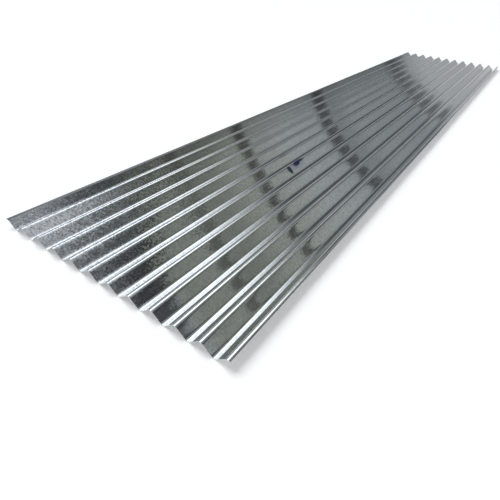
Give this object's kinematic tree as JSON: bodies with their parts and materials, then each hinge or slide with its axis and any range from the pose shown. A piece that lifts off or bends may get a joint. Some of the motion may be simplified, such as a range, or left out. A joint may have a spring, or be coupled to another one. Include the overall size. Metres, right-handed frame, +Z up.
{
  "type": "corrugated metal sheet",
  "caption": "Long galvanised steel sheet rolled into even arc-and-tangent waves, with both long edges ending on a crest, for roofing, cladding and fencing.",
  "frame": {"origin": "underside of the middle valley, half-way along the sheet, on the floor that the sheet lies on", "axes": "+X across the waves, +Y along them, +Z up"},
  "size_m": [0.7552, 3.6576, 0.0222],
  "materials": {
    "galvanised_steel": "bright galvanised, smooth spangle"
  },
  "bodies": {
    "root": {"corrugated_sheet": "galvanised_steel"}
  },
  "joints": []
}
